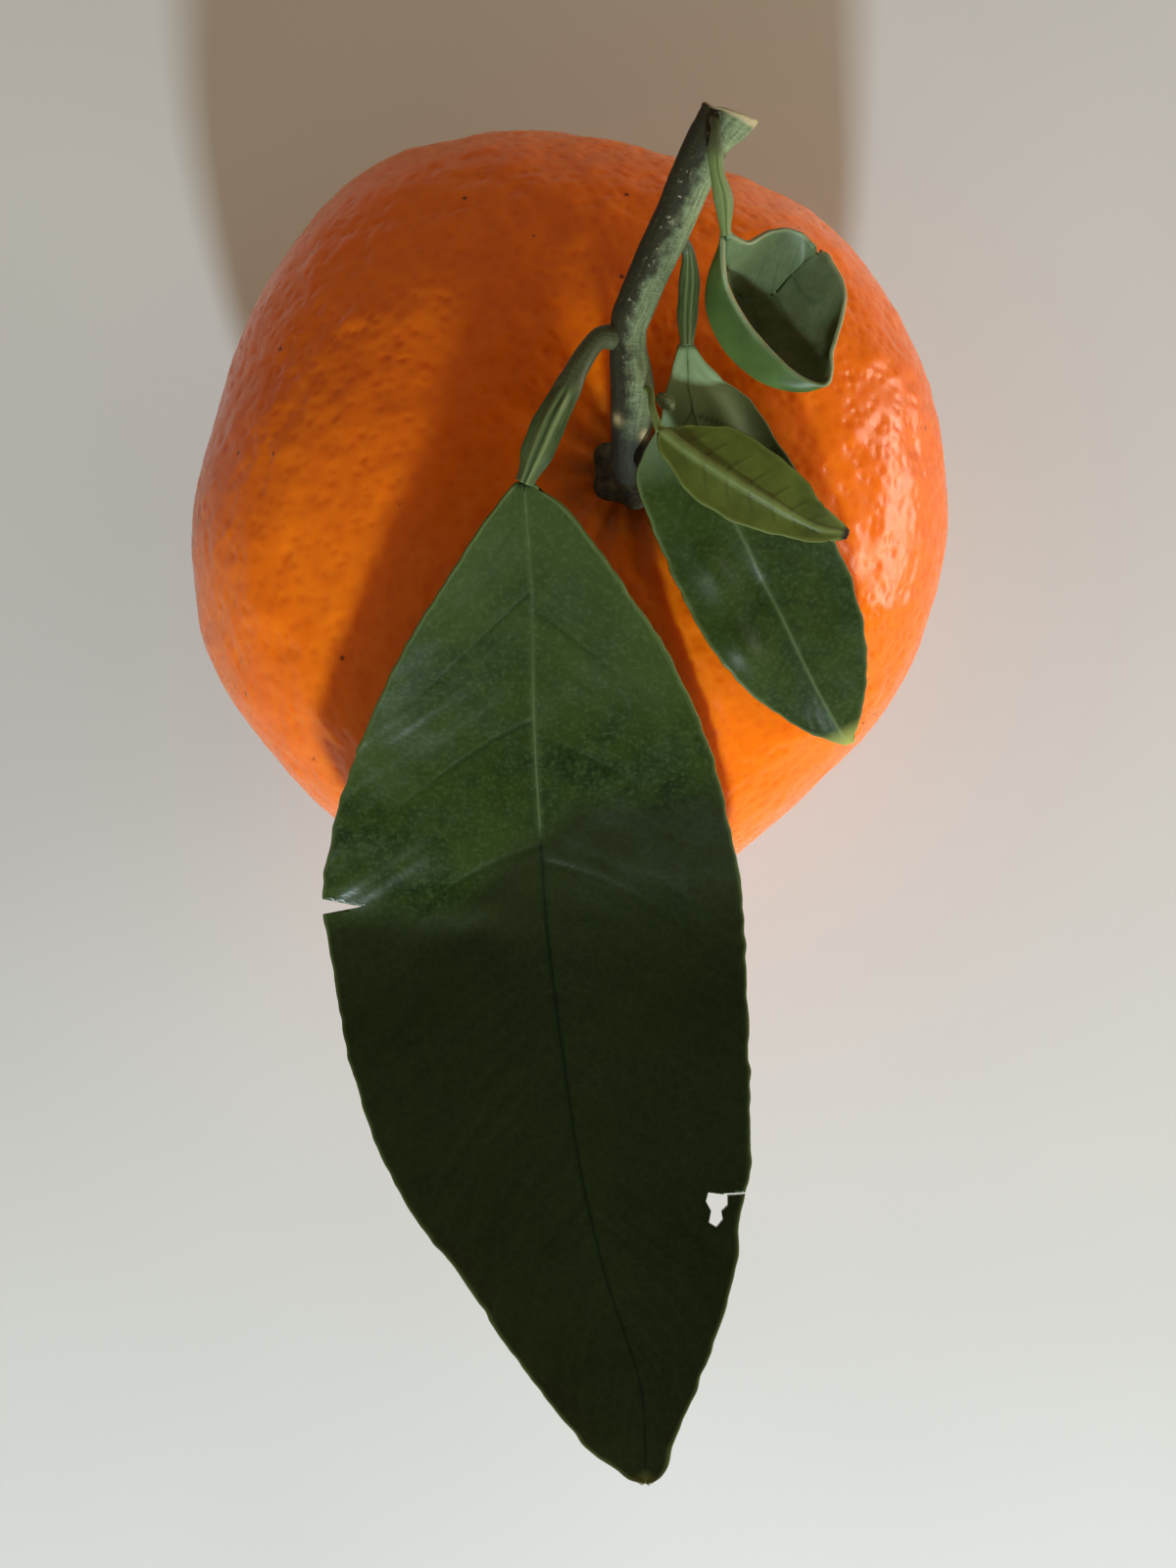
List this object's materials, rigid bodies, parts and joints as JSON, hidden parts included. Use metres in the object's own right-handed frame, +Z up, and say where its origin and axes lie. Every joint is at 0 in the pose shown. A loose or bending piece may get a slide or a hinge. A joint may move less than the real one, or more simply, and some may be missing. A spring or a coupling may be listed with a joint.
{
  "type": "mandarin with leaves",
  "caption": "Squat orange mandarin with a cut woody twig and dark green leaves still on the stem, resting on its base.",
  "frame": {"origin": "the middle of the flattened base that the fruit rests on", "axes": "+Z up through the fruit to its stem end, -Y along the largest leaf towards its tip, +X towards the side that carries the smaller leaves"},
  "size_m": [0.0719, 0.1156, 0.0687],
  "materials": {
    "peel": "waxy pitted citrus peel",
    "calyx": "dry and matte",
    "bark": "fine lengthwise furrows",
    "stalk_green": "satin",
    "leaf_green": "waxy semi-gloss",
    "young_leaf": "satin underside"
  },
  "bodies": {
    "root": {"mandarin_fruit": "peel", "calyx": "calyx", "twig": "bark", "axillary_bud": "bark", "big_leaf_stalk": "stalk_green", "side_leaf_stalk": "stalk_green", "small_leaf_stalk": "stalk_green", "curled_leaf_stalk": "stalk_green", "big_leaf_blade": "leaf_green", "side_leaf_blade": "leaf_green", "curled_leaf_blade": "leaf_green", "small_leaf_blade": "young_leaf"}
  },
  "joints": []
}
